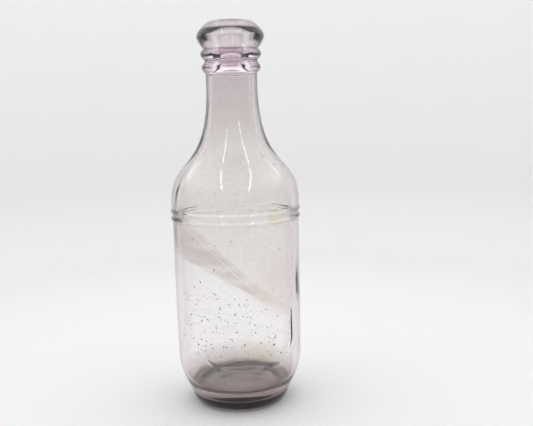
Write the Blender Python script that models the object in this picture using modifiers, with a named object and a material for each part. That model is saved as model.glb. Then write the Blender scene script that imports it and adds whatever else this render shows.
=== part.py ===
"""Glass milk bottle: one moulded piece of faintly violet glass, empty and open at the top.

The bottle is a single turned shape. Its outline runs from the middle of the inner floor,
up the inner wall, over the rounded lip, down the outer side past two neck rings, the
sloping shoulder and the two shoulder ridges, round the heel and the foot, and back to the
axis under the base. The origin is the middle of the face that it stands on, +Z up.
"""

import math

import bpy
from mathutils import Vector
from mathutils.geometry import interpolate_bezier

MM = 0.001

# Overall size
HEIGHT = 226 * MM
BODY_RADIUS = 37.5 * MM
WALL = 3.8 * MM

# Foot and heel
BEARING_OUTER_RADIUS = 21.5 * MM
BEARING_INNER_RADIUS = 16.5 * MM
PUSH_UP = 2.0 * MM
FOOT_RADIUS = 29.6 * MM
FOOT_HEIGHT = 7.2 * MM
HEEL_STEP = 0.4 * MM
HEEL_TOP = 32.0 * MM
HEEL_TOP_RADIUS = BODY_RADIUS - 0.35 * MM
HEEL_TOP_HANDLE = 12.0 * MM
HEEL_FOOT_HANDLE = (4.0 * MM, 7.9 * MM)

# Body and shoulder
BODY_TOP = 108.0 * MM
SHOULDER_BASE = 121.0 * MM
SHOULDER_RADIUS = BODY_RADIUS + 0.45 * MM
SHOULDER_TOP = 190.0 * MM
NECK_RADIUS = 15.0 * MM
SHOULDER_NECK_HANDLE = 51.7 * MM
SHOULDER_BODY_HANDLE = 29.3 * MM
RIDGE_HEIGHTS = (117.3 * MM, 112.8 * MM)
RIDGE_HALF_WIDTH = 1.2 * MM
RIDGE_PROUD = 0.7 * MM

# Neck rings
RING_HEIGHTS = (207.2 * MM, 199.5 * MM)
RING_HALF_WIDTH = 3.2 * MM
RING_PROUD = 1.95 * MM
RINGS_BOTTOM = 195.6 * MM

# Lip
LIP_BOTTOM = 210.4 * MM
LIP_BOTTOM_RADIUS = 15.9 * MM
LIP_WIDEST = 217.2 * MM
LIP_RADIUS = 19.6 * MM
CREST_RADIUS = 10.8 * MM

# Inside
FLOOR_HEIGHT = 13.2 * MM
FLOOR_RADIUS = 26.8 * MM
FLOOR_HANDLE = 3.9 * MM
CAVITY_RADIUS = BODY_RADIUS - WALL
CAVITY_BOTTOM = 32.0 * MM
CAVITY_BOTTOM_HANDLE = 12.5 * MM
CAVITY_TOP = 117.0 * MM
NECK_BORE_RADIUS = 11.3 * MM
NECK_BORE_BOTTOM = 184.0 * MM
NECK_BORE_TOP = 194.5 * MM
BORE_RADIUS = 7.5 * MM
BORE_BOTTOM = 203.0 * MM
BORE_TOP = 212.0 * MM
MOUTH_RADIUS = 8.4 * MM
MOUTH_BOTTOM = 221.5 * MM

# Fineness of the turned shape
TURN_STEPS = 48
MERGE_DISTANCE = 0.00001

GLASS_TINT = (0.86, 0.80, 0.84, 1.0)
GLASS_IOR = 1.5
GLASS_ROUGHNESS = 0.03


def clear_scene():
    """Removes every object, so that the script gives the same result in any file."""
    for obj in list(bpy.data.objects):
        bpy.data.objects.remove(obj, do_unlink=True)


def curve(start, start_handle, end_handle, end, count):
    """Points of a cubic curve in (radius, height), both ends included."""
    knots = [Vector((r, z, 0.0)) for r, z in (start, start_handle, end_handle, end)]
    return [(p.x, p.y) for p in interpolate_bezier(*knots, count)]


def quarter(centre, radii, start_deg, end_deg, count):
    """Points of an elliptical arc in (radius, height), both ends included."""
    points = []
    for i in range(count):
        angle = math.radians(start_deg + (end_deg - start_deg) * i / (count - 1))
        points.append((centre[0] + radii[0] * math.cos(angle), centre[1] + radii[1] * math.sin(angle)))
    return points


def swell(z, centres, half_width, proud):
    """How far a round bead stands out of the wall at height z."""
    total = 0.0
    for centre in centres:
        u = abs(z - centre) / half_width
        if u < 1.0:
            total += proud * math.cos(u * math.pi / 2)
    return total


def between(z, low, high):
    """The radius at height z on the straight line between two (radius, height) points."""
    return low[0] + (high[0] - low[0]) * (z - low[1]) / (high[1] - low[1])


def inner_outline():
    """From the middle of the inner floor up to the mouth."""
    points = [(0.0, FLOOR_HEIGHT)]
    points += curve(
        (FLOOR_RADIUS, FLOOR_HEIGHT),
        (FLOOR_RADIUS + FLOOR_HANDLE, FLOOR_HEIGHT),
        (CAVITY_RADIUS, CAVITY_BOTTOM - CAVITY_BOTTOM_HANDLE),
        (CAVITY_RADIUS, CAVITY_BOTTOM),
        10,
    )
    points += curve(
        (CAVITY_RADIUS, CAVITY_TOP),
        (CAVITY_RADIUS, CAVITY_TOP + SHOULDER_BODY_HANDLE),
        (NECK_BORE_RADIUS, NECK_BORE_BOTTOM - SHOULDER_NECK_HANDLE),
        (NECK_BORE_RADIUS, NECK_BORE_BOTTOM),
        12,
    )
    narrowing = (BORE_BOTTOM - NECK_BORE_TOP) / 2
    points += curve(
        (NECK_BORE_RADIUS, NECK_BORE_TOP),
        (NECK_BORE_RADIUS, NECK_BORE_TOP + narrowing),
        (BORE_RADIUS, BORE_BOTTOM - narrowing),
        (BORE_RADIUS, BORE_BOTTOM),
        5,
    )
    points += [(BORE_RADIUS, BORE_TOP)]
    return points


def lip_outline():
    """From the mouth over the crest to the neck of the lip."""
    crest_rise = HEIGHT - MOUTH_BOTTOM
    mouth_centre = (CREST_RADIUS, MOUTH_BOTTOM)
    points = quarter(mouth_centre, (CREST_RADIUS - MOUTH_RADIUS, crest_rise), 180, 90, 6)
    points += curve(
        (CREST_RADIUS, HEIGHT),
        (CREST_RADIUS + 3.4 * MM, HEIGHT),
        (LIP_RADIUS, LIP_WIDEST + 2.8 * MM),
        (LIP_RADIUS, LIP_WIDEST),
        9,
    )[1:]
    points += curve(
        (LIP_RADIUS, LIP_WIDEST),
        (LIP_RADIUS, LIP_WIDEST - 2.2 * MM),
        (LIP_BOTTOM_RADIUS + 0.7 * MM, LIP_BOTTOM + 1.0 * MM),
        (LIP_BOTTOM_RADIUS, LIP_BOTTOM),
        7,
    )[1:]
    return points


def rings_outline():
    """Down past the two rings to the plain neck."""
    count = 12
    points = []
    for i in range(1, count + 1):
        z = LIP_BOTTOM + (RINGS_BOTTOM - LIP_BOTTOM) * i / count
        wall = between(z, (NECK_RADIUS, RINGS_BOTTOM), (LIP_BOTTOM_RADIUS, LIP_BOTTOM))
        points.append((wall + swell(z, RING_HEIGHTS, RING_HALF_WIDTH, RING_PROUD), z))
    return points


def shoulder_outline():
    """From the neck down the sloping shoulder."""
    return curve(
        (NECK_RADIUS, SHOULDER_TOP),
        (NECK_RADIUS, SHOULDER_TOP - SHOULDER_NECK_HANDLE),
        (SHOULDER_RADIUS, SHOULDER_BASE + SHOULDER_BODY_HANDLE),
        (SHOULDER_RADIUS, SHOULDER_BASE),
        14,
    )


def ridges_outline():
    """The two thin ridges round the bottom of the shoulder."""
    points = []
    for centre in RIDGE_HEIGHTS:
        for step in (1.0, 0.5, 0.0, -0.5, -1.0):
            z = centre + step * RIDGE_HALF_WIDTH
            wall = between(z, (BODY_RADIUS, BODY_TOP), (SHOULDER_RADIUS, SHOULDER_BASE))
            points.append((wall + swell(z, (centre,), RIDGE_HALF_WIDTH, RIDGE_PROUD), z))
    return points


def base_outline():
    """Down the body, round the heel and the foot, and in under the base to the axis."""
    points = [(BODY_RADIUS, BODY_TOP), (BODY_RADIUS, 0.6 * BODY_TOP)]
    points += curve(
        (HEEL_TOP_RADIUS, HEEL_TOP),
        (HEEL_TOP_RADIUS, HEEL_TOP - HEEL_TOP_HANDLE),
        (FOOT_RADIUS + HEEL_FOOT_HANDLE[0], FOOT_HEIGHT + HEEL_FOOT_HANDLE[1]),
        (FOOT_RADIUS + HEEL_STEP, FOOT_HEIGHT + HEEL_STEP),
        8,
    )
    foot_centre = (BEARING_OUTER_RADIUS, FOOT_HEIGHT)
    points += quarter(foot_centre, (FOOT_RADIUS - BEARING_OUTER_RADIUS, FOOT_HEIGHT), 0, -90, 6)
    rise = 4
    for i in range(rise + 1):
        radius = BEARING_INNER_RADIUS * (1 - i / rise)
        points.append((radius, PUSH_UP * math.cos(math.pi / 2 * radius / BEARING_INNER_RADIUS)))
    return points


def glass_material():
    """Old clear glass that has turned faintly violet."""
    material = bpy.data.materials.new("violet_tinted_glass")
    material.use_nodes = True
    shader = material.node_tree.nodes["Principled BSDF"]
    shader.inputs["Base Color"].default_value = GLASS_TINT
    shader.inputs["Roughness"].default_value = GLASS_ROUGHNESS
    shader.inputs["Metallic"].default_value = 0.0
    shader.inputs["IOR"].default_value = GLASS_IOR
    shader.inputs["Transmission Weight"].default_value = 1.0
    material.diffuse_color = GLASS_TINT
    return material


def turned_object(name, outline, collection, material):
    """A solid of revolution about Z from an outline that starts and ends on the axis."""
    mesh = bpy.data.meshes.new(name)
    edges = [(i, i + 1) for i in range(len(outline) - 1)]
    mesh.from_pydata([(radius, 0.0, z) for radius, z in outline], edges, [])
    mesh.materials.append(material)
    obj = bpy.data.objects.new(name, mesh)
    collection.objects.link(obj)
    screw = obj.modifiers.new("turn", "SCREW")
    screw.axis = "Z"
    screw.angle = math.tau
    screw.steps = TURN_STEPS
    screw.render_steps = TURN_STEPS
    screw.use_smooth_shade = True
    screw.use_merge_vertices = True
    screw.merge_threshold = MERGE_DISTANCE
    return obj


def main():
    clear_scene()
    collection = bpy.data.collections.new("glass_milk_bottle")
    bpy.context.scene.collection.children.link(collection)
    outline = inner_outline() + lip_outline() + rings_outline() + shoulder_outline()
    outline += ridges_outline() + base_outline()
    turned_object("bottle", outline, collection, glass_material())


main()
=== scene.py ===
"""The looks of the glass milk bottle: one piece of old, faintly violet moulded glass.

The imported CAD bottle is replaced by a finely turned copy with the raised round-cornered panel
line, mould seams, uneven inner walls and seed bubbles of old glass. Dry bits sit on its inside.
"""

import math
import random

import bmesh
import bpy
import numpy as np
from mathutils import Matrix, Vector


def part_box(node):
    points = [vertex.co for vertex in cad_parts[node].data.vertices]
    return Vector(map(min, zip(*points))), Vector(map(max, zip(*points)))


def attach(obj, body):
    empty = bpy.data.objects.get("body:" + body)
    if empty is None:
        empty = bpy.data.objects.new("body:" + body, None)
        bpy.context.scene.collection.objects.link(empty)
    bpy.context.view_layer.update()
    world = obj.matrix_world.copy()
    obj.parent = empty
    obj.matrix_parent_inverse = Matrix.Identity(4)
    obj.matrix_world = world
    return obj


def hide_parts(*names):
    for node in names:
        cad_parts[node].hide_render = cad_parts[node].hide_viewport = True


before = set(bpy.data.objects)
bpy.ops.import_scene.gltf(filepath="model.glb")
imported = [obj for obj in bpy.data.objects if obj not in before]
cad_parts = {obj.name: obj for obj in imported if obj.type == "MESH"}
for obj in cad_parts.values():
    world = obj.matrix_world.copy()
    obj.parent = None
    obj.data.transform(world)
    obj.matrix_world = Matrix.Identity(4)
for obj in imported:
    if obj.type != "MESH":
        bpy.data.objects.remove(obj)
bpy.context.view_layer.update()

MM = 0.001

# Overall size, from the frame
node_low, node_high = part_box("bottle")
HEIGHT = node_high[2] - node_low[2]

# Outline of the bottle, in metres
BODY_RADIUS = 37.5 * MM
WALL = 3.8 * MM
BEARING_OUTER_RADIUS = 21.5 * MM
BEARING_INNER_RADIUS = 16.5 * MM
PUSH_UP = 2.0 * MM
FOOT_RADIUS = 29.6 * MM
FOOT_HEIGHT = 7.2 * MM
HEEL_STEP = 0.4 * MM
HEEL_TOP = 32.0 * MM
HEEL_TOP_RADIUS = BODY_RADIUS - 0.35 * MM
HEEL_TOP_HANDLE = 12.0 * MM
HEEL_FOOT_HANDLE = (4.0 * MM, 7.9 * MM)
BODY_TOP = 108.0 * MM
SHOULDER_BASE = 121.0 * MM
SHOULDER_RADIUS = BODY_RADIUS + 0.45 * MM
SHOULDER_TOP = 190.0 * MM
NECK_RADIUS = 15.0 * MM
SHOULDER_NECK_HANDLE = 51.7 * MM
SHOULDER_BODY_HANDLE = 29.3 * MM
RIDGE_HEIGHTS = (117.3 * MM, 112.8 * MM)
RIDGE_HALF_WIDTH = 1.2 * MM
RIDGE_PROUD = 0.7 * MM
RING_HEIGHTS = (207.2 * MM, 199.5 * MM)
RING_HALF_WIDTH = 3.2 * MM
RING_PROUD = 1.95 * MM
RINGS_BOTTOM = 195.6 * MM
LIP_BOTTOM = 210.4 * MM
LIP_BOTTOM_RADIUS = 15.9 * MM
LIP_WIDEST = 217.2 * MM
LIP_RADIUS = 19.6 * MM
CREST_RADIUS = 10.8 * MM
FLOOR_HEIGHT = 13.2 * MM
FLOOR_RADIUS = 26.8 * MM
FLOOR_HANDLE = 3.9 * MM
CAVITY_RADIUS = BODY_RADIUS - WALL
CAVITY_BOTTOM = 32.0 * MM
CAVITY_BOTTOM_HANDLE = 12.5 * MM
CAVITY_TOP = 117.0 * MM
NECK_BORE_RADIUS = 11.3 * MM
NECK_BORE_BOTTOM = 184.0 * MM
NECK_BORE_TOP = 194.5 * MM
BORE_RADIUS = 7.5 * MM
BORE_BOTTOM = 203.0 * MM
BORE_TOP = 212.0 * MM
MOUTH_RADIUS = 8.4 * MM
MOUTH_BOTTOM = 221.5 * MM

# Raised outline of a plain panel on the viewer's side, boldest at its lower right corner.
# Azimuth runs from -Y towards +X.
PANEL_AZIMUTH = math.radians(9.6)
PANEL_HALF_WIDTH = 29.6 * MM
PANEL_BOTTOM = 29.6 * MM
PANEL_TOP = 108.5 * MM
PANEL_CORNER = 15.0 * MM
PANEL_LINE_WIDTH = 0.6 * MM
PANEL_LINE_PROUD = 0.22 * MM
PANEL_WORN_HEIGHTS = (70 * MM, 95 * MM)
PANEL_WORN_SHARES = (1.0, 0.35)
PANEL_BOLD_GAIN = 1.8
PANEL_BOLD_TURN = 0.75
PANEL_BOLD_TURN_REACH = 0.16
PANEL_BOLD_HEIGHT = 44 * MM
PANEL_BOLD_HEIGHT_REACH = 11 * MM
SEAM_WIDTH = 0.7 * MM
SEAM_PROUD = 0.09 * MM

# Unevenness of old glass: how deep each set of waves is, and which waves it is made of, as
# (turns round the bottle, metres per cycle, phase)
INNER_WAVE_DEPTH = 0.26 * MM
FINE_WAVE_DEPTH = 0.09 * MM
OUTER_WAVE_DEPTH = 0.07 * MM
FLOOR_SWIRL_DEPTH = 0.06 * MM
INNER_WAVES = ((1, 0.31, 0.4), (2, -0.17, 1.9), (3, 0.12, 4.4), (5, -0.083, 2.2), (7, 0.21, 5.1))
FINE_WAVES = ((9, 0.052, 0.8), (13, -0.047, 3.3), (17, 0.11, 1.1), (11, 0.031, 5.6), (23, -0.15, 2.7))
OUTER_WAVES = ((2, 0.19, 2.6), (3, -0.11, 0.3), (6, 0.067, 4.0), (10, -0.09, 1.4))

# Columns of the mesh round the bottle: fine across the panel, coarser behind
FINE_HALF_ANGLE = math.radians(52)
FINE_COLUMNS = 116
COARSE_COLUMNS = 84

# Seed bubbles: where they lie in the wall, and their radii
BUBBLE_COUNT = 100
BUBBLE_HEIGHTS = (16 * MM, 150 * MM)
BUBBLE_DEPTHS = (1.3, 2.5)
BUBBLE_SIZES = (0.14, 0.18, 0.24, 0.32, 0.45)
WALL_HEIGHTS = (0, 27 * MM, 121 * MM, 136 * MM, 160 * MM)
WALL_RADII = (32 * MM, 37.1 * MM, 37.9 * MM, 34.3 * MM, 19 * MM)

# Dried film on the inner wall, left by liquid that stood in the tilted bottle. Each edge is a
# plane: level, slope along X, slope along Y. The streaky sash lies between the two planes.
FILM_EDGE = (67.8 * MM, -0.62, -0.258)
SASH_EDGE = (88.7 * MM, -0.963, 0.0)
FILM_RIDGE_WIDTH = 1.1 * MM
FILM_RIDGE_PROUD = 0.22 * MM

# Colours of the glass by height: base, heel, clear body, violet neck, rings and lip. The dark heel band
# is painted shade, standing in for the dark surroundings seen through the heel.
GLASS_TINTS_AND_HEEL_SHADE = (
    (0.0, (0.97, 0.90, 0.88, 1)),
    (7.0 * MM, (0.97, 0.90, 0.88, 1)),
    (7.8 * MM, (0.18, 0.135, 0.13, 1)),
    (12.5 * MM, (0.60, 0.54, 0.53, 1)),
    (26 * MM, (1.0, 1.0, 1.0, 1)),
    (150 * MM, (0.97, 0.965, 0.95, 1)),
    (170 * MM, (0.90, 0.88, 0.87, 1)),
    (194 * MM, (0.835, 0.80, 0.815, 1)),
    (200 * MM, (0.74, 0.66, 0.73, 1)),
    (209 * MM, (0.72, 0.63, 0.71, 1)),
    (213 * MM, (0.94, 0.91, 0.93, 1)),
    (226 * MM, (0.99, 0.965, 0.98, 1)),
)
FILM_TINT = (0.967, 0.960, 0.952, 1)
SASH_TINT = (0.76, 0.69, 0.69, 1)
SASH_FADE_END = 34 * MM

# Clear scratches in the sash, which also stand in as painted highlights for the glints along it: depth
# under its upper edge, how far each wanders
SASH_SCRATCHES_AND_GLINTS = ((0.6 * MM, 0.4 * MM), (2.6 * MM, 5 * MM), (5.5 * MM, 7 * MM))
SCRATCH_GLINT_EDGE = (0.15 * MM, 0.45 * MM)

# Painted shade on the foot, standing in for the shaded floor under the bottle seen through it, outside
# this radius and up to this height
PAINTED_FOOT_SHADE = (0.002, 0.0006, 0.0008, 1)
FOOT_SHADE_RADIUS = 22.5 * MM
FOOT_SHADE_EDGE = 2 * MM
FOOT_SHADE_TOP = (7.8 * MM, 7.2 * MM)

# Painted shade where the outer face is seen edge on, standing in for the dark surroundings seen in the
# glass there, by how far it is turned away
PAINTED_EDGE_SHADES = (
    (0.30, (1.0, 1.0, 1.0, 1)),
    (0.46, (0.88, 0.84, 0.86, 1)),
    (0.70, (0.74, 0.69, 0.71, 1)),
    (0.84, (0.40, 0.35, 0.37, 1)),
    (0.92, (0.12, 0.09, 0.10, 1)),
)
# The same painted shade on the neck, stronger and starting sooner
PAINTED_NECK_EDGE_SHADES = (
    (0.44, (1.0, 1.0, 1.0, 1)),
    (0.525, (0.76, 0.70, 0.73, 1)),
    (0.61, (0.46, 0.40, 0.43, 1)),
    (0.72, (0.20, 0.16, 0.18, 1)),
    (0.80, (0.08, 0.06, 0.07, 1)),
)
NECK_EDGE_HEIGHTS = (148 * MM, 178 * MM)

# The lip's dark sides, painted shade standing in for the dark surroundings reflected in it: a crescent
# round its widest part and one under it
PAINTED_LIP_SHADE = (0.002, 0.0006, 0.0015, 1)
LIP_EDGE_TOP = (222.5 * MM, 221 * MM)
LIP_UPPER_BOTTOM = (216.6 * MM, 218 * MM)
LIP_UPPER_FACING = (0.12, 0.26)
LIP_LOWER_BOTTOM = (212.5 * MM, 214.5 * MM)
LIP_LOWER_FACING_START = (0.22, 0.34)
LIP_LOWER_FACING_END = (0.60, 0.50)

# Surface of the stained inner floor and of the rings
FLOOR_TINT = (1.0, 0.86, 0.82, 1)
FLOOR_STAIN_TOP = (FLOOR_HEIGHT + 1.6 * MM, FLOOR_HEIGHT + 0.4 * MM)
FLOOR_ROUGHNESS = 0.32
RING_ROUGHNESS = 0.09
RINGS_BAND_BOTTOM = (194 * MM, 197 * MM)
RINGS_BAND_TOP = (213 * MM, 210 * MM)
WEAR_ROUGHNESS = 0.05

# Fineness of the noises, in cycles per metre
CLOUD_SCALE = 35.0
FLOOR_SMEAR_SCALE = 75.0
MOTTLE_SCALE = 520.0
WEAR_SCALE = 160.0
STAIN_SCALE = 140.0
BUMP_SCALE = 90.0
SASH_SCALE = 70.0
SCRATCH_GLINT_SCALE = 28.0
RESIDUE_COLOUR_SCALE = 900.0
RESIDUE_ROUGHNESS_SCALE = 600.0

# Glass, and its slow and fine mottling
GLASS_IOR = 1.5
GLASS_ABSORPTION_DENSITY = 12.0
GLASS_ABSORPTION_COLOUR = (0.78, 0.69, 0.72, 1)
CLOUD_STOPS = ((0.3, (0.985, 0.975, 0.985, 1)), (0.7, (1, 1, 1, 1)))
MOTTLE_STOPS = ((0.35, (0.955, 0.948, 0.952, 1)), (0.55, (1, 1, 1, 1)))

# Marks in the film and on the glass: middle, reach, colour
STAINS = (
    ((20.8 * MM, -26.5 * MM, 114.6 * MM), 8 * MM, (0.93, 0.90, 0.68, 1)),
    ((13 * MM, 28 * MM, 14 * MM), 20 * MM, (0.965, 0.94, 0.82, 1)),
    ((12 * MM, -31 * MM, 71 * MM), 7 * MM, (0.97, 0.95, 0.86, 1)),
    ((22 * MM, -25 * MM, 76 * MM), 26 * MM, (0.955, 0.90, 0.90, 1)),
)

# The photographer's place
CAMERA_DISTANCE = 421.4 * MM
CAMERA_HEIGHT = 176.6 * MM
CAMERA_PITCH = math.radians(8.5)
CAMERA_YAW = math.radians(2.5)
CAMERA_ROLL = math.radians(1.45)
CAMERA_LENS = 48.0
CAMERA_SENSOR = 36.0

# Dry bits inside
RESIDUE_BITS = 270
RESIDUE_SIZES = (0.12, 0.15, 0.2, 0.25, 0.32)
RESIDUE_AZIMUTH = (-0.1, 0.75)
RESIDUE_HEIGHTS = (26 * MM, 84 * MM, 44 * MM)
RESIDUE_FILM_GAP = 2 * MM
RESIDUE_FLATNESS = 0.5
RESIDUE_VERTS = 12
RESIDUE_COLOURS = ((0.3, (0.10, 0.085, 0.08, 1)), (0.7, (0.34, 0.30, 0.26, 1)))

# Studio
BOWL_FLAT_RADIUS = 0.42
BOWL_CURVE = 0.08
BOWL_WALL = 0.32
BOWL_STEPS = 96
BOWL_DROP = 0.2 * MM
BOWL_GREY = 0.82
ROOM_STRENGTH = 1.375
STRIP_WIDTH = 0.03
STRIP_POWER = 0.35
STRIP_AIM_HEIGHT = 0.15


# ---------------------------------------------------------------- outline of the glass

def curve(start, start_handle, end_handle, end, count):
    """Points of a cubic curve in (radius, height), both ends included."""
    t = np.linspace(0.0, 1.0, count)[:, None]
    knots = [np.array(k) for k in (start, start_handle, end_handle, end)]
    s = 1 - t
    return s**3 * knots[0] + 3 * s * s * t * knots[1] + 3 * s * t * t * knots[2] + t**3 * knots[3]


def quarter(centre, radii, start_deg, end_deg, count):
    """Points of an elliptical arc in (radius, height), both ends included."""
    a = np.radians(np.linspace(start_deg, end_deg, count))
    return np.stack([centre[0] + radii[0] * np.cos(a), centre[1] + radii[1] * np.sin(a)], 1)


def swell(z, centres, half_width, proud):
    """How far a round bead stands out of the wall at height z."""
    total = np.zeros_like(z)
    for centre in centres:
        u = np.clip(np.abs(z - centre) / half_width, 0.0, 1.0)
        total += proud * np.cos(u * math.pi / 2)
    return total


def line(start, end, count):
    """Points on a straight line in (radius, height), both ends included."""
    t = np.linspace(0.0, 1.0, count)[:, None]
    return np.array(start) * (1 - t) + np.array(end) * t


def inner_outline():
    """From the middle of the inner floor up to the mouth."""
    floor = line((0.0, FLOOR_HEIGHT), (FLOOR_RADIUS, FLOOR_HEIGHT), 14)
    heel = curve(
        (FLOOR_RADIUS, FLOOR_HEIGHT),
        (FLOOR_RADIUS + FLOOR_HANDLE, FLOOR_HEIGHT),
        (CAVITY_RADIUS, CAVITY_BOTTOM - CAVITY_BOTTOM_HANDLE),
        (CAVITY_RADIUS, CAVITY_BOTTOM),
        24,
    )[1:]
    wall = line((CAVITY_RADIUS, CAVITY_BOTTOM), (CAVITY_RADIUS, CAVITY_TOP), 72)[1:]
    shoulder = curve(
        (CAVITY_RADIUS, CAVITY_TOP),
        (CAVITY_RADIUS, CAVITY_TOP + SHOULDER_BODY_HANDLE),
        (NECK_BORE_RADIUS, NECK_BORE_BOTTOM - SHOULDER_NECK_HANDLE),
        (NECK_BORE_RADIUS, NECK_BORE_BOTTOM),
        26,
    )[1:]
    narrowing = (BORE_BOTTOM - NECK_BORE_TOP) / 2
    throat = curve(
        (NECK_BORE_RADIUS, NECK_BORE_TOP),
        (NECK_BORE_RADIUS, NECK_BORE_TOP + narrowing),
        (BORE_RADIUS, BORE_BOTTOM - narrowing),
        (BORE_RADIUS, BORE_BOTTOM),
        10,
    )
    bore = line((BORE_RADIUS, BORE_BOTTOM), (BORE_RADIUS, BORE_TOP), 6)[1:]
    mouth = curve(
        (BORE_RADIUS, BORE_TOP),
        (BORE_RADIUS, BORE_TOP + 4.0 * MM),
        (MOUTH_RADIUS, MOUTH_BOTTOM - 4.0 * MM),
        (MOUTH_RADIUS, MOUTH_BOTTOM),
        8,
    )[1:]
    return np.concatenate([floor, heel, wall, shoulder, throat, bore, mouth])


def lip_outline():
    """From the mouth over the crest to the neck of the lip."""
    rise = HEIGHT - MOUTH_BOTTOM
    inside = quarter((CREST_RADIUS, MOUTH_BOTTOM), (CREST_RADIUS - MOUTH_RADIUS, rise), 180, 90, 12)[1:]
    dome = curve(
        (CREST_RADIUS, HEIGHT),
        (CREST_RADIUS + 3.4 * MM, HEIGHT),
        (LIP_RADIUS, LIP_WIDEST + 2.8 * MM),
        (LIP_RADIUS, LIP_WIDEST),
        20,
    )[1:]
    under = curve(
        (LIP_RADIUS, LIP_WIDEST),
        (LIP_RADIUS, LIP_WIDEST - 2.2 * MM),
        (LIP_BOTTOM_RADIUS + 0.7 * MM, LIP_BOTTOM + 1.0 * MM),
        (LIP_BOTTOM_RADIUS, LIP_BOTTOM),
        14,
    )[1:]
    return np.concatenate([inside, dome, under])


def rings_outline():
    """Down past the two rings to the plain neck."""
    z = np.linspace(LIP_BOTTOM, RINGS_BOTTOM, 38)[1:]
    wall = np.interp(z, (RINGS_BOTTOM, LIP_BOTTOM), (NECK_RADIUS, LIP_BOTTOM_RADIUS))
    return np.stack([wall + swell(z, RING_HEIGHTS, RING_HALF_WIDTH, RING_PROUD), z], 1)


def shoulder_outline():
    """From the neck down the sloping shoulder."""
    return curve(
        (NECK_RADIUS, SHOULDER_TOP),
        (NECK_RADIUS, SHOULDER_TOP - SHOULDER_NECK_HANDLE),
        (SHOULDER_RADIUS, SHOULDER_BASE + SHOULDER_BODY_HANDLE),
        (SHOULDER_RADIUS, SHOULDER_BASE),
        36,
    )


def body_outline():
    """The ridges round the bottom of the shoulder and the straight body under them."""
    ridges = np.linspace(SHOULDER_BASE, BODY_TOP, 40)[1:]
    body = np.linspace(BODY_TOP, HEEL_TOP, 104)[1:]
    z = np.concatenate([ridges, body])
    stations = (HEEL_TOP, 0.6 * BODY_TOP, BODY_TOP, SHOULDER_BASE)
    wall = np.interp(z, stations, (HEEL_TOP_RADIUS, BODY_RADIUS, BODY_RADIUS, SHOULDER_RADIUS))
    return np.stack([wall + swell(z, RIDGE_HEIGHTS, RIDGE_HALF_WIDTH, RIDGE_PROUD), z], 1)


def base_outline():
    """Round the heel and the foot, and in under the base to the axis."""
    heel = curve(
        (HEEL_TOP_RADIUS, HEEL_TOP),
        (HEEL_TOP_RADIUS, HEEL_TOP - HEEL_TOP_HANDLE),
        (FOOT_RADIUS + HEEL_FOOT_HANDLE[0], FOOT_HEIGHT + HEEL_FOOT_HANDLE[1]),
        (FOOT_RADIUS + HEEL_STEP, FOOT_HEIGHT + HEEL_STEP),
        30,
    )[1:]
    foot_size = (FOOT_RADIUS - BEARING_OUTER_RADIUS, FOOT_HEIGHT)
    foot = quarter((BEARING_OUTER_RADIUS, FOOT_HEIGHT), foot_size, 0, -90, 14)
    radius = np.linspace(BEARING_INNER_RADIUS, 0.0, 10)
    hollow = np.stack([radius, PUSH_UP * np.cos(math.pi / 2 * radius / BEARING_INNER_RADIUS)], 1)
    return np.concatenate([heel, foot, hollow])


# ---------------------------------------------------------------- unevenness of old glass

def ripple(azimuth, z, waves):
    """A smooth uneven field made of a few waves."""
    total = np.zeros(np.broadcast(azimuth, z).shape)
    for turns, length, phase in waves:
        total += np.sin(turns * azimuth + math.tau * z / length + phase)
    return total / len(waves)


def azimuths():
    """Angles round the bottle, from -Y towards +X, closer together across the raised panel."""
    start, stop = PANEL_AZIMUTH - FINE_HALF_ANGLE, PANEL_AZIMUTH + FINE_HALF_ANGLE
    fine = np.linspace(start, stop, FINE_COLUMNS)
    rest = np.linspace(stop, start + math.tau, COARSE_COLUMNS)
    return np.concatenate([fine, rest[1:-1]])


def panel_relief(azimuth, z):
    """Height of the raised line that bounds the panel, a rectangle with round corners."""
    turn_from_panel = np.angle(np.exp(1j * (azimuth - PANEL_AZIMUTH)))
    across = np.abs(turn_from_panel) * BODY_RADIUS
    past_side = across - (PANEL_HALF_WIDTH - PANEL_CORNER)
    half_height = (PANEL_TOP - PANEL_BOTTOM) / 2
    past_end = np.abs(z - (PANEL_TOP + PANEL_BOTTOM) / 2) - (half_height - PANEL_CORNER)
    corner = np.hypot(np.maximum(past_side, 0), np.maximum(past_end, 0))
    distance = corner + np.minimum(np.maximum(past_side, past_end), 0) - PANEL_CORNER
    strength = np.interp(z, PANEL_WORN_HEIGHTS, PANEL_WORN_SHARES)
    turn = (turn_from_panel - PANEL_BOLD_TURN) / PANEL_BOLD_TURN_REACH
    rise = (z - PANEL_BOLD_HEIGHT) / PANEL_BOLD_HEIGHT_REACH
    strength += PANEL_BOLD_GAIN * np.exp(-(turn**2) - rise**2)
    return strength * PANEL_LINE_PROUD * np.exp(-((distance / PANEL_LINE_WIDTH) ** 2))


def above_plane(plane, x, y, z):
    """Height of a point above a tilted plane."""
    return z - (plane[0] + plane[1] * x + plane[2] * y)


def film_relief(azimuth, z):
    """Thickness of the dried ridges along the film's edge and the sash's edge, on the inner wall."""
    x, y = CAVITY_RADIUS * np.sin(azimuth), -CAVITY_RADIUS * np.cos(azimuth)
    low = above_plane(FILM_EDGE, x, y, z)
    high = above_plane(SASH_EDGE, x, y, z)
    near = np.clip((-y - 8 * MM) / (10 * MM), 0, 1) * (high < low)
    ridges = 0.4 * np.exp(-((low / FILM_RIDGE_WIDTH) ** 2)) + np.exp(-((high / FILM_RIDGE_WIDTH) ** 2))
    return FILM_RIDGE_PROUD * near * ridges


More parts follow.
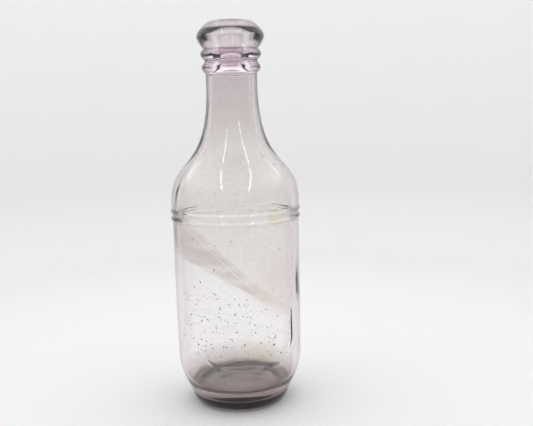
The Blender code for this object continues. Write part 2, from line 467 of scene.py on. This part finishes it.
def seam_relief(azimuth, z):
    """The two seams that the halves of the mould leave, from the heel to just under the rings."""
    across = np.abs(np.sin(azimuth - PANEL_AZIMUTH - math.pi / 2)) * BODY_RADIUS
    upright = np.exp(-((across / SEAM_WIDTH) ** 2))
    reach = np.clip((z - HEEL_TOP) / (4 * MM), 0, 1) * np.clip((RINGS_BOTTOM - z) / (4 * MM), 0, 1)
    return SEAM_PROUD * upright * reach


def wall_waves(azimuth, z):
    """Unevenness of the inner wall of the body."""
    broad = INNER_WAVE_DEPTH * ripple(azimuth, z, INNER_WAVES)
    return broad + FINE_WAVE_DEPTH * ripple(azimuth, z, FINE_WAVES)


def wall_share(radius, z):
    """How much of the unevenness reaches each point inside: less on the floor and at the mouth."""
    share = np.clip((z - FLOOR_HEIGHT) / (12 * MM), 0, 1) * np.clip(radius / (12 * MM), 0.25, 1)
    share *= np.clip((HEIGHT - 8 * MM - z) / (20 * MM), 0.15, 1)
    return share * np.clip((z - FLOOR_HEIGHT) / (20 * MM), 0.1, 1)


def floor_swirl(x, y, z):
    """Slight waves on the inner floor."""
    share = np.clip(1 - (z - FLOOR_HEIGHT) / (5 * MM), 0, 1)
    swirl = np.sin(x / (7 * MM) + 0.6) * np.cos(y / (9 * MM)) + 0.5 * np.sin((x + 1.7 * y) / (5 * MM))
    return share * FLOOR_SWIRL_DEPTH * swirl


def glass_points(angles):
    """(rows, columns, 3) points of the bottle's surface, and how many rows are inside."""
    inside = inner_outline()
    outside = [lip_outline(), rings_outline(), shoulder_outline(), body_outline(), base_outline()]
    outside = np.concatenate(outside)
    radius = np.concatenate([inside[:, 0], outside[:, 0]])[:, None] * np.ones(len(angles))
    z = np.concatenate([inside[:, 1], outside[:, 1]])[:, None] * np.ones(len(angles))
    az = angles[None, :] * np.ones_like(radius)
    n = len(inside)

    waves = wall_share(radius[:n], z[:n]) * wall_waves(az[:n], z[:n])
    radius[:n] += waves - film_relief(az[:n], z[:n])
    x = radius[:n] * np.sin(az[:n])
    y = -radius[:n] * np.cos(az[:n])
    z[:n] += floor_swirl(x, y, z[:n])

    outer_share = np.clip(z[n:] / (10 * MM), 0, 1) * np.clip((HEIGHT - z[n:]) / (6 * MM), 0, 1)
    waves = OUTER_WAVE_DEPTH * ripple(az[n:], z[n:], OUTER_WAVES)
    radius[n:] += outer_share * waves * radius[n:] / BODY_RADIUS
    radius[n:] += panel_relief(az[n:], z[n:]) * (radius[n:] > 0.9 * BODY_RADIUS)
    radius[n:] += seam_relief(az[n:], z[n:])
    return np.stack([radius * np.sin(az), -radius * np.cos(az), z], 2), n


def turned_mesh(name, points):
    """A closed mesh from rings of points whose first and last rings have shrunk to the axis."""
    rows, columns, _ = points.shape
    rings = points[1:-1].reshape(-1, 3)
    start, end = points[0].mean(0), points[-1].mean(0)
    verts = [tuple(p) for p in rings] + [tuple(start), tuple(end)]
    first, last = len(verts) - 2, len(verts) - 1
    faces = []
    for i in range(rows - 3):
        a, b = i * columns, (i + 1) * columns
        for j in range(columns):
            k = (j + 1) % columns
            faces.append((a + j, b + j, b + k, a + k))
    low, high = 0, (rows - 3) * columns
    for j in range(columns):
        k = (j + 1) % columns
        faces.append((first, low + j, low + k))
        faces.append((last, high + k, high + j))
    mesh = bpy.data.meshes.new(name)
    mesh.from_pydata(verts, [], faces)
    return mesh


def add_bubbles(bm, rng):
    """Seed bubbles: small closed hollows inside the walls, so their faces point into the hollow."""
    for _ in range(BUBBLE_COUNT):
        z = rng.uniform(*BUBBLE_HEIGHTS)
        outer = float(np.interp(z, WALL_HEIGHTS, WALL_RADII))
        radius = outer - rng.uniform(*BUBBLE_DEPTHS) * MM
        azimuth = rng.uniform(0, math.tau)
        size = rng.choice(BUBBLE_SIZES) * MM
        stretch = rng.uniform(1.0, 2.2)
        place = Matrix.Translation((radius * math.sin(azimuth), -radius * math.cos(azimuth), z))
        shape = Matrix.Diagonal((size, size, size * stretch, 1.0))
        made = bmesh.ops.create_icosphere(bm, subdivisions=2, radius=1.0, matrix=place @ shape)
        faces = {f for v in made["verts"] for f in v.link_faces}
        bmesh.ops.reverse_faces(bm, faces=list(faces))
        for f in faces:
            f.smooth = True


def link(name, mesh, material):
    obj = bpy.data.objects.new(name, mesh)
    bpy.context.scene.collection.objects.link(obj)
    mesh.materials.append(material)
    return obj


# ---------------------------------------------------------------- materials

class Nodes:
    """A short way to build a material's node tree."""

    def __init__(self, name):
        self.material = bpy.data.materials.new(name)
        self.material.use_nodes = True
        self.tree = self.material.node_tree
        self.shader = self.tree.nodes["Principled BSDF"]
        self.output = self.tree.nodes["Material Output"]

    def add(self, kind, **values):
        node = self.tree.nodes.new(kind)
        for key, value in values.items():
            if key in node.inputs:
                node.inputs[key].default_value = value
            else:
                setattr(node, key, value)
        return node

    def join(self, source, target):
        self.tree.links.new(source, target)

    def coords(self, scale=(1, 1, 1)):
        tex = self.add("ShaderNodeTexCoord")
        mapping = self.add("ShaderNodeMapping")
        mapping.inputs["Scale"].default_value = scale
        self.join(tex.outputs["Object"], mapping.inputs["Vector"])
        return mapping.outputs["Vector"]

    def noise(self, scale, detail=2.0, stretch=(1, 1, 1)):
        node = self.add("ShaderNodeTexNoise", Scale=scale, Detail=detail)
        self.join(self.coords(stretch), node.inputs["Vector"])
        return node.outputs["Fac"]

    def ramp(self, fac, stops):
        node = self.add("ShaderNodeValToRGB")
        elements = node.color_ramp.elements
        while len(elements) < len(stops):
            elements.new(0.5)
        for element, (place, colour) in zip(elements, stops):
            element.position = place
            element.color = colour
        self.join(fac, node.inputs["Fac"])
        return node.outputs["Color"]

    def multiply(self, a, b):
        node = self.add("ShaderNodeMix", data_type="RGBA", blend_type="MULTIPLY")
        node.inputs["Factor"].default_value = 1.0
        self.join(a, node.inputs["A"])
        self.join(b, node.inputs["B"])
        return node.outputs["Result"]

    def fade_in(self, factor, b):
        """White at 0 and b at 1."""
        node = self.add("ShaderNodeMix", data_type="RGBA")
        self.join(factor, node.inputs["Factor"])
        node.inputs["A"].default_value = grey(1.0)
        self.join(b, node.inputs["B"])
        return node.outputs["Result"]

    def span(self, value, low, high):
        """0 at low and 1 at high, clamped."""
        node = self.add("ShaderNodeMapRange")
        node.inputs["From Min"].default_value = low
        node.inputs["From Max"].default_value = high
        self.join(value, node.inputs["Value"])
        return node.outputs["Result"]

    def part(self, vector, axis):
        node = self.add("ShaderNodeSeparateXYZ")
        self.join(vector, node.inputs["Vector"])
        return node.outputs[axis]

    def distance(self, vector, centre):
        node = self.add("ShaderNodeVectorMath", operation="DISTANCE")
        self.join(vector, node.inputs[0])
        node.inputs[1].default_value = centre
        return node.outputs["Value"]

    def plane_height(self, vector, plane):
        """Height above a tilted plane: level, slope along X, slope along Y."""
        node = self.add("ShaderNodeVectorMath", operation="DOT_PRODUCT")
        self.join(vector, node.inputs[0])
        node.inputs[1].default_value = (-plane[1], -plane[2], 1.0)
        return self.math("SUBTRACT", node.outputs["Value"], plane[0])

    def math(self, operation, a, b):
        node = self.add("ShaderNodeMath", operation=operation)
        for socket, value in zip(node.inputs, (a, b)):
            if isinstance(value, (int, float)):
                socket.default_value = value
            else:
                self.join(value, socket)
        return node.outputs[0]


def grey(value):
    return (value, value, value, 1.0)


def fading(colour):
    """Ramp stops from no tint at 0 to the full colour at 1."""
    return ((0.0, grey(1.0)), (1.0, colour))


def glass_material():
    """Old clear glass, gone violet in the sun where it is thick, with a film inside and painted shade
    on the heel, foot, edges and lip.
    """
    m = Nodes("violet_glass")
    s = m.shader.inputs
    s["IOR"].default_value = GLASS_IOR
    s["Transmission Weight"].default_value = 1.0
    s["Metallic"].default_value = 0.0
    place = m.coords()
    height = m.part(place, "Z")
    outer = m.add("ShaderNodeAttribute", attribute_name="outer").outputs["Fac"]
    floor = m.math("MULTIPLY", m.span(height, *FLOOR_STAIN_TOP), m.math("SUBTRACT", 1.0, outer))
    tint_and_painted_shade = m.ramp(m.math("DIVIDE", height, HEIGHT), [(z / HEIGHT, colour) for z, colour in GLASS_TINTS_AND_HEEL_SHADE])
    film = m.plane_height(place, FILM_EDGE)
    layers = [
        m.ramp(m.noise(CLOUD_SCALE, 3.0, (1, 1, 0.5)), CLOUD_STOPS),
        m.ramp(m.span(film, -0.6 * MM, 1.2 * MM), fading(FILM_TINT)),
        sash_tint(m, place, film),
        painted_foot_shade(m, height),
        painted_edge_shade(m, height, outer),
        floor_tint(m, floor),
        m.ramp(m.noise(MOTTLE_SCALE, 3.0), MOTTLE_STOPS),
    ]
    for layer in layers + [stain_tint(m, place, *stain) for stain in STAINS]:
        tint_and_painted_shade = m.multiply(tint_and_painted_shade, layer)
    m.join(tint_and_painted_shade, s["Base Color"])
    m.join(glass_roughness(m, height, floor), s["Roughness"])
    bump = m.add("ShaderNodeBump", Strength=0.10, Distance=0.0006)
    m.join(m.noise(BUMP_SCALE, 2.0, (1, 1, 0.35)), bump.inputs["Height"])
    m.join(bump.outputs["Normal"], s["Normal"])
    absorb = m.add("ShaderNodeVolumeAbsorption", Density=GLASS_ABSORPTION_DENSITY)
    absorb.inputs["Color"].default_value = GLASS_ABSORPTION_COLOUR
    m.join(absorb.outputs["Volume"], m.output.inputs["Volume"])
    return m.material


def glass_roughness(m, height, floor):
    """Slight wear everywhere, a dirty inner floor and softer rings."""
    worn = m.math("MULTIPLY", m.span(m.noise(WEAR_SCALE, 4.0), 0.45, 0.75), WEAR_ROUGHNESS)
    dirty = m.math("MULTIPLY", floor, FLOOR_ROUGHNESS)
    rings = m.math("MULTIPLY", m.span(height, *RINGS_BAND_BOTTOM), m.span(height, *RINGS_BAND_TOP))
    rings = m.math("MULTIPLY", rings, RING_ROUGHNESS)
    return m.math("MAXIMUM", m.math("MAXIMUM", worn, dirty), rings)


def stain_tint(m, place, centre, size, colour):
    """A soft-edged spot of colour."""
    uneven = m.math("MULTIPLY", m.noise(STAIN_SCALE, 3.0), -0.5 * size)
    spot = m.math("ADD", m.distance(place, centre), uneven)
    return m.ramp(m.span(spot, 0.0, 0.6 * size), ((0.0, colour), (1.0, grey(1.0))))


def floor_tint(m, floor):
    """The uneven stain on the inner floor."""
    smear = m.math("MULTIPLY", floor, m.span(m.noise(FLOOR_SMEAR_SCALE, 3.0), 0.1, 0.6))
    return m.ramp(smear, fading(FLOOR_TINT))


def painted_foot_shade(m, height):
    """Painted shade on the outside of the foot, standing in for the shaded floor under the bottle seen
    through it.
    """
    radius = m.distance(m.coords((1, 1, 0)), (0, 0, 0))
    outside = m.span(radius, FOOT_SHADE_RADIUS, FOOT_SHADE_RADIUS + FOOT_SHADE_EDGE)
    return m.ramp(m.math("MULTIPLY", m.span(height, *FOOT_SHADE_TOP), outside), fading(PAINTED_FOOT_SHADE))


def painted_edge_shade(m, height, outer):
    """Painted shade where the outside is seen edge on, most of all at the thick lip: dark colour that
    stands in for the dark surroundings seen in the glass there.

    Layer Weight sets it, so it follows the direction of view.
    """
    facing = m.add("ShaderNodeLayerWeight", Blend=0.5).outputs["Facing"]
    facing = m.math("MULTIPLY", facing, outer)
    under_top = m.span(height, *LIP_EDGE_TOP)
    upper = m.math("MULTIPLY", m.span(height, *LIP_UPPER_BOTTOM), under_top)
    upper = m.math("MULTIPLY", upper, m.span(facing, *LIP_UPPER_FACING))
    lower = m.math("MULTIPLY", m.span(height, *LIP_LOWER_BOTTOM), under_top)
    lower = m.math("MULTIPLY", lower, m.span(facing, *LIP_LOWER_FACING_START))
    lower = m.math("MULTIPLY", lower, m.span(facing, *LIP_LOWER_FACING_END))
    lip = m.ramp(m.math("MAXIMUM", upper, lower), fading(PAINTED_LIP_SHADE))
    neck = m.fade_in(m.span(height, *NECK_EDGE_HEIGHTS), m.ramp(facing, PAINTED_NECK_EDGE_SHADES))
    return m.multiply(m.multiply(m.ramp(facing, PAINTED_EDGE_SHADES), lip), neck)


def sash_tint(m, place, film):
    """The streaky band of thicker film between the two planes, on the viewer's side only."""
    high = m.plane_height(place, SASH_EDGE)
    inside = m.math("MULTIPLY", m.span(film, -0.2 * MM, 0.8 * MM), m.span(high, 0.6 * MM, -0.4 * MM))
    near = m.span(m.part(place, "Y"), -4 * MM, -14 * MM)
    streak = m.noise(SASH_SCALE, 3.0, (0.5, 0.5, 2.4))
    fade = m.span(m.part(place, "X"), SASH_FADE_END, 0.0)
    fade = m.math("MULTIPLY", fade, m.span(streak, 0.2, 0.7))
    amount = m.math("MULTIPLY", m.math("MULTIPLY", inside, near), fade)
    # Clear lines through the sash: gaps in the film, and painted highlights standing in for the glints
    # along it
    for level, wander in SASH_SCRATCHES_AND_GLINTS:
        bend = m.math("MULTIPLY", m.math("SUBTRACT", m.noise(SCRATCH_GLINT_SCALE, 2.0), 0.5), wander)
        away = m.math("ABSOLUTE", m.math("ADD", m.math("ADD", high, level), bend), 0.0)
        amount = m.math("MULTIPLY", amount, m.span(away, *SCRATCH_GLINT_EDGE))
    return m.ramp(amount, fading(SASH_TINT))


def residue_material():
    """Dry dark bits stuck to the inside of the glass."""
    m = Nodes("dry_residue")
    m.join(m.ramp(m.noise(RESIDUE_COLOUR_SCALE, 2.0), RESIDUE_COLOURS), m.shader.inputs["Base Color"])
    roughness = m.ramp(m.noise(RESIDUE_ROUGHNESS_SCALE, 2.0), ((0.3, grey(0.6)), (0.7, grey(0.9))))
    m.join(roughness, m.shader.inputs["Roughness"])
    return m.material


# ---------------------------------------------------------------- pieces of the object

def residue_piece(rng):
    """Small dry bits on the inner wall, below the edge of the film."""
    bm = bmesh.new()
    while len(bm.verts) < RESIDUE_BITS * RESIDUE_VERTS:
        azimuth = rng.gauss(*RESIDUE_AZIMUTH)
        z = rng.triangular(*RESIDUE_HEIGHTS)
        wall = CAVITY_RADIUS + float(wall_waves(azimuth, z))
        x, y = wall * math.sin(azimuth), -wall * math.cos(azimuth)
        if z < CAVITY_BOTTOM or above_plane(FILM_EDGE, x, y, z) > -RESIDUE_FILM_GAP:
            continue
        size = rng.choice(RESIDUE_SIZES) * MM
        turn = Matrix.Rotation(azimuth, 4, "Z") @ Matrix.Rotation(rng.uniform(0, math.tau), 4, "Y")
        shape = Matrix.Diagonal((size, RESIDUE_FLATNESS * size, size * rng.uniform(1.0, 3.2), 1.0))
        inward = 1 - RESIDUE_FLATNESS * size / wall
        place = Matrix.Translation((x * inward, y * inward, z)) @ turn @ shape
        made = bmesh.ops.create_icosphere(bm, subdivisions=1, radius=1.0, matrix=place)
        for v in made["verts"]:
            v.co += Vector((rng.uniform(-1, 1), rng.uniform(-1, 1), rng.uniform(-1, 1))) * 0.25 * size
    mesh = bpy.data.meshes.new("dried_residue")
    bm.to_mesh(mesh)
    bm.free()
    return link("dried_residue", mesh, residue_material())


def bottle_piece():
    """The glass itself. Its attribute 'outer' is 1 on the outer face and 0 inside."""
    points, inside_rows = glass_points(azimuths())
    mesh = turned_mesh("bottle_glass", points)
    outer = mesh.attributes.new("outer", "FLOAT", "POINT")
    columns = points.shape[1]
    inner_verts = (inside_rows - 1) * columns
    outer_verts = (len(points) - 2) * columns - inner_verts
    outer.data.foreach_set("value", [0.0] * inner_verts + [1.0] * outer_verts + [0.0, 1.0])
    bm = bmesh.new()
    bm.from_mesh(mesh)
    bmesh.ops.recalc_face_normals(bm, faces=bm.faces[:])
    for f in bm.faces:
        f.smooth = True
    add_bubbles(bm, random.Random(7))
    bm.to_mesh(mesh)
    bm.free()
    obj = link("bottle_glass", mesh, glass_material())
    obj.visible_shadow = False
    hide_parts("bottle")
    return obj


# ---------------------------------------------------------------- studio

def bowl_material():
    m = Nodes("studio_paper")
    m.shader.inputs["Base Color"].default_value = grey(BOWL_GREY)
    m.shader.inputs["Roughness"].default_value = 0.9
    m.shader.inputs["Specular IOR Level"].default_value = 0.0
    return m.material


def studio():
    """A pale dish all round: a flat floor that curves up into a low wall, open at the top."""
    profile = [(BOWL_FLAT_RADIUS * i / 8, 0.0) for i in range(9)]
    for i in range(1, 25):
        a = math.pi / 2 * i / 24
        profile.append((BOWL_FLAT_RADIUS + BOWL_CURVE * math.sin(a), BOWL_CURVE * (1 - math.cos(a))))
    profile.append((BOWL_FLAT_RADIUS + BOWL_CURVE, BOWL_CURVE + BOWL_WALL))
    verts, faces = [(0.0, 0.0, 0.0)], []
    for r, z in profile[1:]:
        for j in range(BOWL_STEPS):
            a = math.tau * j / BOWL_STEPS
            verts.append((r * math.cos(a), r * math.sin(a), z))
    for j in range(BOWL_STEPS):
        faces.append((0, 1 + j, 1 + (j + 1) % BOWL_STEPS))
    for i in range(len(profile) - 2):
        a, b = 1 + i * BOWL_STEPS, 1 + (i + 1) * BOWL_STEPS
        for j in range(BOWL_STEPS):
            k = (j + 1) % BOWL_STEPS
            faces.append((a + j, b + j, b + k, a + k))
    mesh = bpy.data.meshes.new("studio_dish")
    mesh.from_pydata(verts, [], faces)
    mesh.polygons.foreach_set("use_smooth", [True] * len(mesh.polygons))
    dish = link("studio_dish", mesh, bowl_material())
    dish.location.z = -BOWL_DROP


def strip_light(name, low_end, high_end):
    """A thin lamp between two points that faces the bottle and shows only as a reflection."""
    data = bpy.data.lights.new(name, "AREA")
    data.shape = "RECTANGLE"
    data.size = STRIP_WIDTH
    data.size_y = (high_end - low_end).length
    data.energy = STRIP_POWER
    obj = bpy.data.objects.new(name, data)
    bpy.context.scene.collection.objects.link(obj)
    middle = (low_end + high_end) / 2
    along = (high_end - low_end).normalized()
    away = middle - Vector((0.0, 0.0, STRIP_AIM_HEIGHT))
    away = (away - along * away.dot(along)).normalized()
    turn = Matrix((along.cross(away), along, away)).transposed()
    obj.matrix_world = Matrix.Translation(middle) @ turn.to_4x4()
    obj.visible_diffuse = False
    obj.visible_transmission = False


def lights():
    """An even white room, and two strips for the streaks on the shoulder."""
    world = bpy.data.worlds.new("studio_room")
    bpy.context.scene.world = world
    world.use_nodes = True
    background = world.node_tree.nodes["Background"]
    background.inputs["Color"].default_value = (1.0, 1.0, 1.0, 1)
    background.inputs["Strength"].default_value = ROOM_STRENGTH
    strips = (
        ("strip_left", (-0.20, -0.55, 0.29), (-0.20, -0.15, 0.74)),
        ("strip_right", (0.20, -0.50, 0.29), (0.24, -0.12, 0.74)),
    )
    for name, low_end, high_end in strips:
        strip_light(name, Vector(low_end), Vector(high_end))


def camera():
    data = bpy.data.cameras.new("camera")
    data.lens = CAMERA_LENS
    data.sensor_width = CAMERA_SENSOR
    data.clip_start = 0.01
    obj = bpy.data.objects.new("camera", data)
    bpy.context.scene.collection.objects.link(obj)
    obj.location = (0.0, -CAMERA_DISTANCE, CAMERA_HEIGHT)
    turn = Matrix.Rotation(-CAMERA_YAW, 4, "Z")
    tilt = Matrix.Rotation(math.pi / 2 - CAMERA_PITCH, 4, "X")
    roll = Matrix.Rotation(-CAMERA_ROLL, 4, "Z")
    obj.rotation_euler = (turn @ tilt @ roll).to_euler()
    bpy.context.scene.camera = obj


def main():
    camera()
    bpy.context.scene.view_settings.view_transform = "Standard"
    studio()
    lights()
    for piece in (bottle_piece(), residue_piece(random.Random(11))):
        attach(piece, "root")


main()
